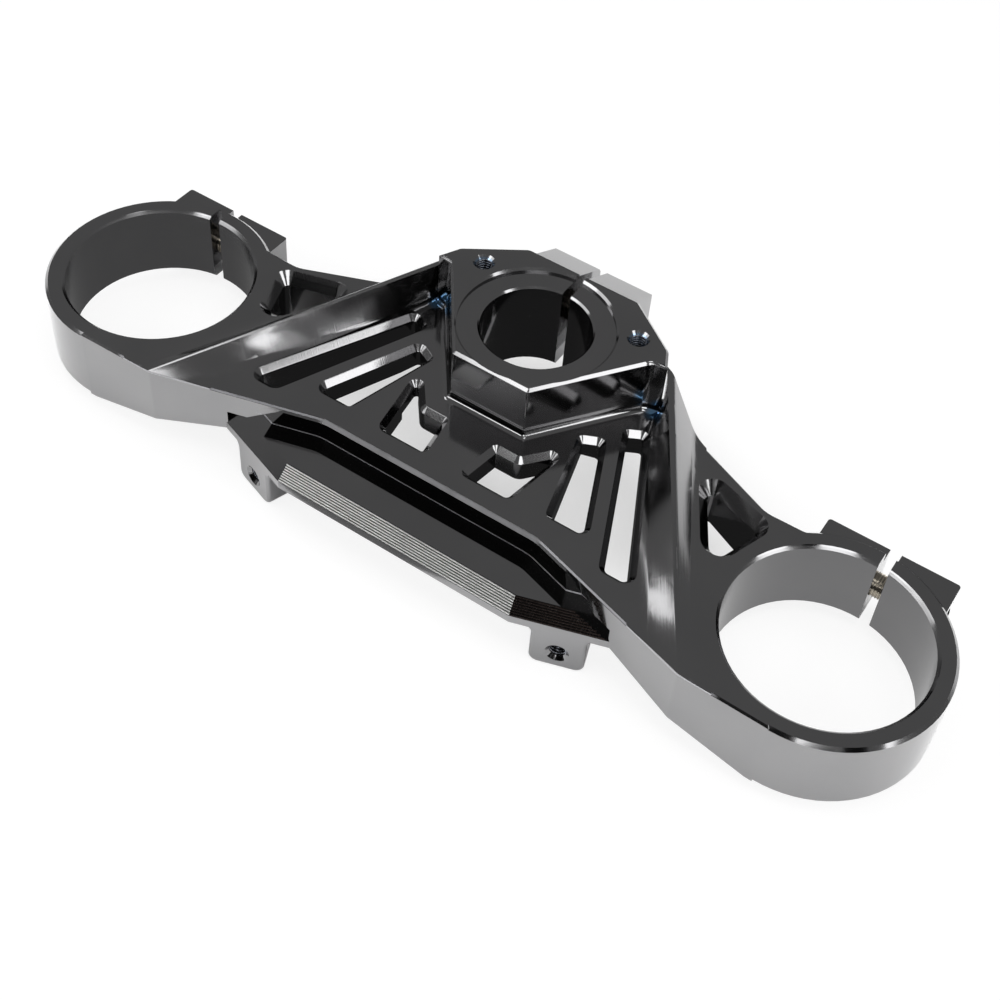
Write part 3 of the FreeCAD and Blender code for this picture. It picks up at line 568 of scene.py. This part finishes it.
def finish_tree(tree, geometry, material):
    """Real mesh, smooth and in its material, at the end of a tree"""
    realize = tree.nodes.new("GeometryNodeRealizeInstances")
    tree.links.new(geometry, realize.inputs[0])
    smooth = tree.nodes.new("GeometryNodeSetShadeSmooth")
    tree.links.new(realize.outputs[0], smooth.inputs["Geometry"])
    dress = tree.nodes.new("GeometryNodeSetMaterial")
    tree.links.new(smooth.outputs[0], dress.inputs["Geometry"])
    tree.links.new(material, dress.inputs["Material"])
    tree.links.new(dress.outputs[0], tree.nodes.new("NodeGroupOutput").inputs[0])


def grown_piece(name, tree, values):
    """Plain mesh object that a tree makes, with the tree's inputs given by their labels"""
    piece = bpy.data.objects.new(name, bpy.data.meshes.new(name))
    scene.collection.objects.link(piece)
    growth = piece.modifiers.new("growth", "NODES")
    growth.node_group = tree
    for item in tree.interface.items_tree:
        if item.name in values:
            growth[item.identifier] = values[item.name]
    grown = piece.evaluated_get(bpy.context.evaluated_depsgraph_get())
    mesh = bpy.data.meshes.new_from_object(grown)
    piece.modifiers.remove(growth)
    piece.data = mesh
    return piece


RIB_SIDES = 12
rib_tree, given = growth_tree("band_ribs", [
    ("Count", "NodeSocketInt"), ("First Start", "NodeSocketVector"), ("Step", "NodeSocketVector"),
    ("Along", "NodeSocketVector"), ("First Length", "NodeSocketFloat"), ("Length Step", "NodeSocketFloat"),
    ("Width", "NodeSocketFloat"), ("Material", "NodeSocketMaterial")])
nodes = rib_tree.nodes
links = rib_tree.links
row = nodes.new("GeometryNodeMeshLine")
row.mode = "OFFSET"
links.new(given["Count"], row.inputs["Count"])
links.new(given["First Start"], row.inputs["Start Location"])
links.new(given["Step"], row.inputs["Offset"])
core = nodes.new("GeometryNodeCurvePrimitiveLine")
core.inputs["End"].default_value = (1, 0, 0)
profile = nodes.new("GeometryNodeCurvePrimitiveCircle")
profile.inputs["Resolution"].default_value = RIB_SIDES
links.new(math_node(nodes, links, "DIVIDE", given["Width"], 2.0), profile.inputs["Radius"])
bar = nodes.new("GeometryNodeCurveToMesh")
bar.inputs["Fill Caps"].default_value = True
links.new(core.outputs[0], bar.inputs["Curve"])
links.new(profile.outputs[0], bar.inputs["Profile Curve"])
aim = nodes.new("FunctionNodeAlignRotationToVector")
aim.axis = "X"
links.new(given["Along"], aim.inputs["Vector"])
index = nodes.new("GeometryNodeInputIndex")
rib_length = math_node(nodes, links, "MULTIPLY_ADD", index.outputs[0], given["Length Step"], given["First Length"])
stretch = nodes.new("ShaderNodeCombineXYZ")
links.new(rib_length, stretch.inputs["X"])
stretch.inputs["Y"].default_value = 1.0
stretch.inputs["Z"].default_value = 1.0
ribs = nodes.new("GeometryNodeInstanceOnPoints")
links.new(row.outputs[0], ribs.inputs["Points"])
links.new(bar.outputs[0], ribs.inputs["Instance"])
links.new(aim.outputs[0], ribs.inputs["Rotation"])
links.new(stretch.outputs[0], ribs.inputs["Scale"])
finish_tree(rib_tree, ribs.outputs[0], given["Material"])

BAND_TOP_EDGE = Vector((0.03387, -0.0582, -0.0070))
BAND_LOW_EDGE = Vector((0.0344, -0.0615, -0.0111))
BAND_END_ALONG = Vector((0.9499, 0.3125, 0.0))
RIB_COUNT = 8
RIB_MARGIN = 0.07
RIB_WIDTH = 0.00042
SLANT_TOP_LENGTH = 0.0145
SLANT_LOW_LENGTH = 0.0230
first_rib = BAND_TOP_EDGE.lerp(BAND_LOW_EDGE, RIB_MARGIN)
last_rib = BAND_TOP_EDGE.lerp(BAND_LOW_EDGE, 1 - RIB_MARGIN)
rib_step = (last_rib - first_rib) / (RIB_COUNT - 1)
RIB_LINE_PITCH = 0.0006
rib_satin = satin_material("rolled_band_satin", dark=(0.84, 0.84, 0.83), light=(0.96, 0.96, 0.94), roughness=0.3,
                           pitch=RIB_LINE_PITCH, across=(1, 0, 0))
# Painted shade: the ribs on the slanted end are a dark brown copy of the rib satin
rib_painted_shade = satin_material("rolled_band_painted_shade", dark=(0.02, 0.016, 0.015), light=(0.045, 0.034, 0.03),
                           roughness=0.22, pitch=RIB_LINE_PITCH, across=(1, 0, 0))
band_ribs = grown_piece("band_ribs", rib_tree, {
    "Count": RIB_COUNT, "First Start": (-first_rib.x, first_rib.y, first_rib.z),
    "Step": (-rib_step.x, rib_step.y, rib_step.z), "Along": (1, 0, 0), "First Length": 2 * first_rib.x,
    "Length Step": 2 * rib_step.x, "Width": RIB_WIDTH, "Material": rib_satin})
band_end_ribs = grown_piece("band_end_ribs", rib_tree, {
    "Count": RIB_COUNT, "First Start": tuple(first_rib), "Step": tuple(rib_step), "Along": tuple(BAND_END_ALONG),
    "First Length": SLANT_TOP_LENGTH, "Length Step": (SLANT_LOW_LENGTH - SLANT_TOP_LENGTH) / (RIB_COUNT - 1),
    "Width": RIB_WIDTH, "Material": rib_painted_shade})
for ribs_piece in (band_ribs, band_end_ribs):
    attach(ribs_piece, "root")

# Threads
# The tapped holes of the boss and the lugs hold a cut thread behind their countersinks.
# Each thread is a fine helix that lies in the hole's wall, on both sides of the yoke.
STEPS_PER_TURN = 28
WIRE_SIDES = 6
thread_tree, given = growth_tree("thread_turns", [
    ("Right Place", "NodeSocketVector"), ("Right Axis", "NodeSocketVector"), ("Radius", "NodeSocketFloat"),
    ("Pitch", "NodeSocketFloat"), ("Turns", "NodeSocketFloat"), ("Wire", "NodeSocketFloat"),
    ("Material", "NodeSocketMaterial")])
nodes = thread_tree.nodes
links = thread_tree.links
pair = nodes.new("GeometryNodeMeshLine")
pair.mode = "OFFSET"
pair.inputs["Count"].default_value = 2
index = nodes.new("GeometryNodeInputIndex")
which_side = nodes.new("ShaderNodeCombineXYZ")
links.new(math_node(nodes, links, "MULTIPLY_ADD", index.outputs[0], 2.0, -1.0), which_side.inputs["X"])
which_side.inputs["Y"].default_value = 1.0
which_side.inputs["Z"].default_value = 1.0


def to_side(value):
    node = nodes.new("ShaderNodeVectorMath")
    node.operation = "MULTIPLY"
    links.new(value, node.inputs[0])
    links.new(which_side.outputs[0], node.inputs[1])
    return node.outputs[0]


spread = nodes.new("GeometryNodeSetPosition")
links.new(pair.outputs[0], spread.inputs["Geometry"])
links.new(to_side(given["Right Place"]), spread.inputs["Position"])
helix = nodes.new("GeometryNodeCurveSpiral")
helix.inputs["Resolution"].default_value = STEPS_PER_TURN
links.new(given["Turns"], helix.inputs["Rotations"])
links.new(given["Radius"], helix.inputs["Start Radius"])
links.new(given["Radius"], helix.inputs["End Radius"])
links.new(math_node(nodes, links, "MULTIPLY", given["Pitch"], given["Turns"]), helix.inputs["Height"])
wire = nodes.new("GeometryNodeCurvePrimitiveCircle")
wire.inputs["Resolution"].default_value = WIRE_SIDES
links.new(given["Wire"], wire.inputs["Radius"])
turned = nodes.new("GeometryNodeCurveToMesh")
turned.inputs["Fill Caps"].default_value = True
links.new(helix.outputs[0], turned.inputs["Curve"])
links.new(wire.outputs[0], turned.inputs["Profile Curve"])
aim = nodes.new("FunctionNodeAlignRotationToVector")
aim.axis = "Z"
links.new(to_side(given["Right Axis"]), aim.inputs["Vector"])
threads = nodes.new("GeometryNodeInstanceOnPoints")
links.new(spread.outputs[0], threads.inputs["Points"])
links.new(turned.outputs[0], threads.inputs["Instance"])
links.new(aim.outputs[0], threads.inputs["Rotation"])
finish_tree(thread_tree, threads.outputs[0], given["Material"])

TAP_RADIUS = 0.0021
TAP_PITCH = 0.0008
TAP_TURNS = 7.0
TAP_SINK = 0.0009
THREAD_WIRE = 0.00022
BOSS_THREAD_PLACE = (*BOSS_HOLE, BOSS_TOP - TAP_SINK - TAP_TURNS * TAP_PITCH)
LUG_MOUTH = Vector((0.04618, -0.05762, -0.021))
LUG_AXIS = Vector((0.3125, -0.9499, 0.0))
thread_steel = satin_material("cut_thread", dark=(0.16, 0.17, 0.2), light=(0.3, 0.31, 0.33), roughness=0.2,
                              pitch=0.0003, across=(0, 0, 1))
boss_threads = grown_piece("boss_threads", thread_tree, {
    "Right Place": BOSS_THREAD_PLACE, "Right Axis": (0, 0, 1), "Radius": TAP_RADIUS, "Pitch": TAP_PITCH,
    "Turns": TAP_TURNS, "Wire": THREAD_WIRE, "Material": thread_steel})
lug_threads = grown_piece("lug_threads", thread_tree, {
    "Right Place": tuple(LUG_MOUTH - LUG_AXIS * (TAP_SINK + TAP_TURNS * TAP_PITCH)), "Right Axis": tuple(LUG_AXIS),
    "Radius": TAP_RADIUS, "Pitch": TAP_PITCH, "Turns": TAP_TURNS, "Wire": THREAD_WIRE, "Material": thread_steel})
for thread_piece in (boss_threads, lug_threads):
    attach(thread_piece, "root")

# Pinch bolts
# Three zinc plated socket head screws close the slits of the fork clamps and of the stem clamp.
# The plating is slightly yellow, and the shanks' threads show in the slits.
ZINC_DARK = (0.46, 0.41, 0.33)
ZINC_LIGHT = (0.62, 0.57, 0.48)
BOLT_THREAD_PLACE = (0.1013, -0.0006, -0.012)
BOLT_THREAD_RADIUS = 0.003
BOLT_THREAD_PITCH = 0.0007
BOLT_THREAD_TURNS = 4.0
bolt_steel = satin_material("zinc_plated_steel", ZINC_DARK, ZINC_LIGHT, roughness=0.2, pitch=0.0003,
                            across=(0, 0.7, 0.7))
for name in ("fork_pinch_bolt_right", "fork_pinch_bolt_left", "stem_pinch_bolt"):
    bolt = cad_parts[name]
    bolt.data.materials.clear()
    bolt.data.materials.append(bolt_steel)

fork_bolt_threads = grown_piece("fork_bolt_threads", thread_tree, {
    "Right Place": BOLT_THREAD_PLACE, "Right Axis": (1, 0, 0), "Radius": BOLT_THREAD_RADIUS,
    "Pitch": BOLT_THREAD_PITCH, "Turns": BOLT_THREAD_TURNS, "Wire": THREAD_WIRE, "Material": bolt_steel})
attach(fork_bolt_threads, "root")
